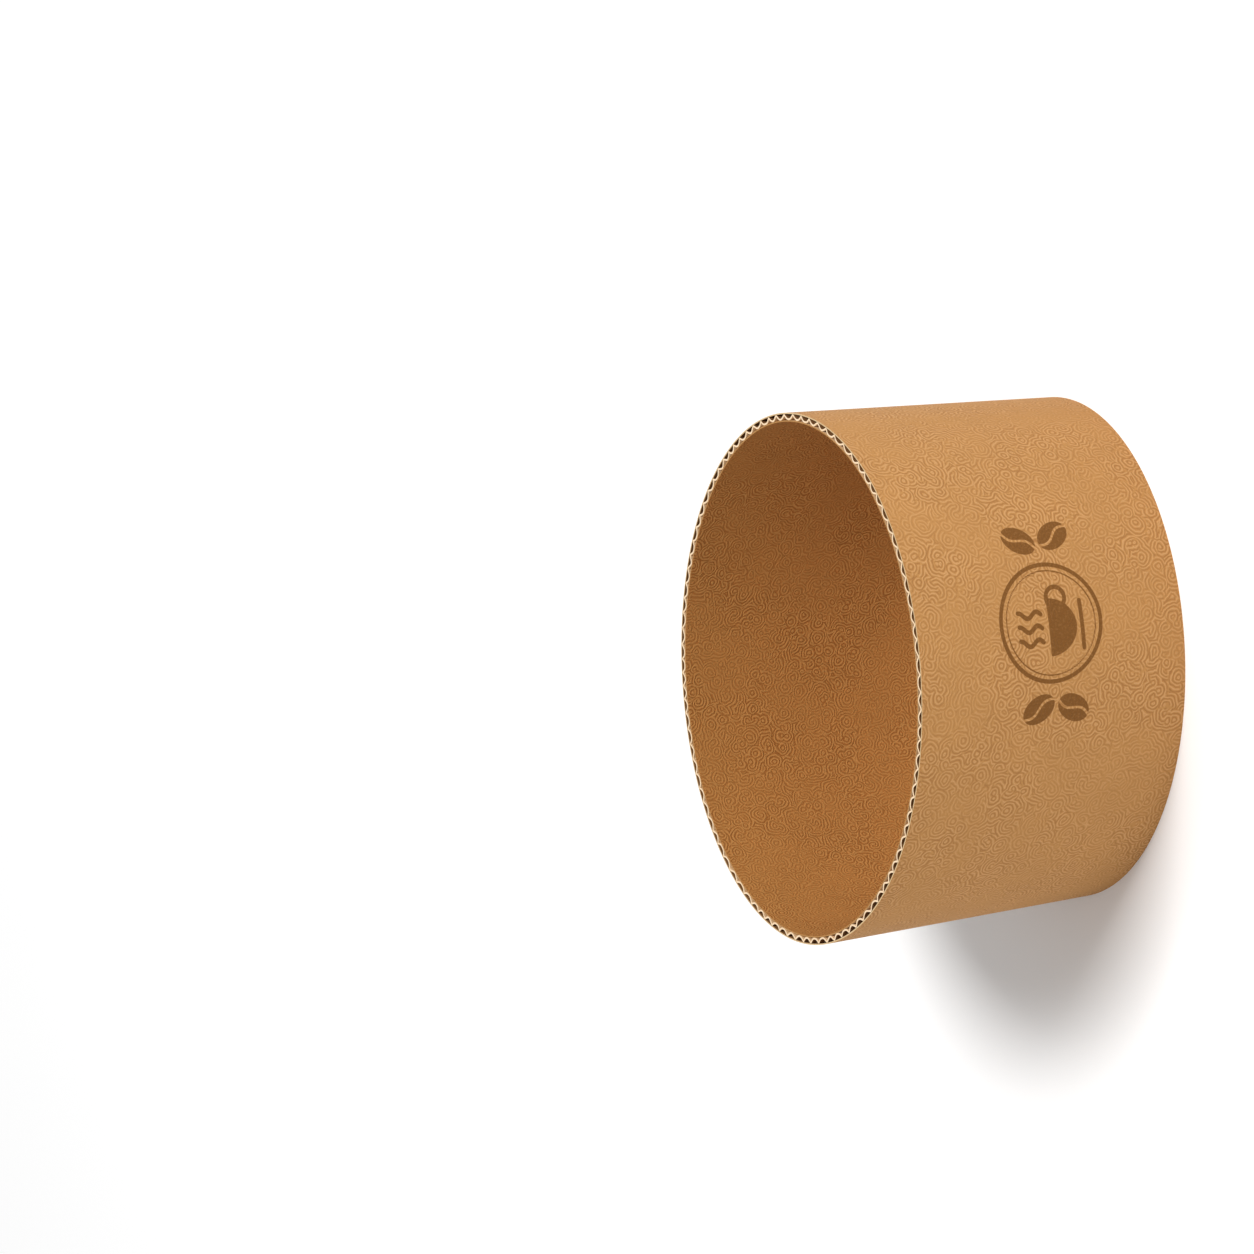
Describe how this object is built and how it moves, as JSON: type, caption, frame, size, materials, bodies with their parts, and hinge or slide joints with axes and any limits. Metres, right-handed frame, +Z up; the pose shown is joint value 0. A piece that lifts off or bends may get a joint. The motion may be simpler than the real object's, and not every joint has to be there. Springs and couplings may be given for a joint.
{
  "type": "coffee cup sleeve",
  "caption": "Heat sleeve for a takeaway hot-drink cup: a short, slightly oval tapered ring of fluted kraft board, open at both ends.",
  "frame": {"origin": "centre of the small end, in the plane that the sleeve stands on", "axes": "+Z up the sleeve to its large end, +X along the long axis of its oval, +Y along the short axis"},
  "size_m": [0.0918, 0.0782, 0.054],
  "materials": {
    "outer_liner_paper": "matte kraft",
    "fluting_paper": "matte, fresh cut",
    "inner_liner_paper": "matte kraft"
  },
  "bodies": {
    "root": {"outer_liner": "outer_liner_paper", "fluted_medium": "fluting_paper", "inner_liner": "inner_liner_paper"}
  },
  "joints": []
}
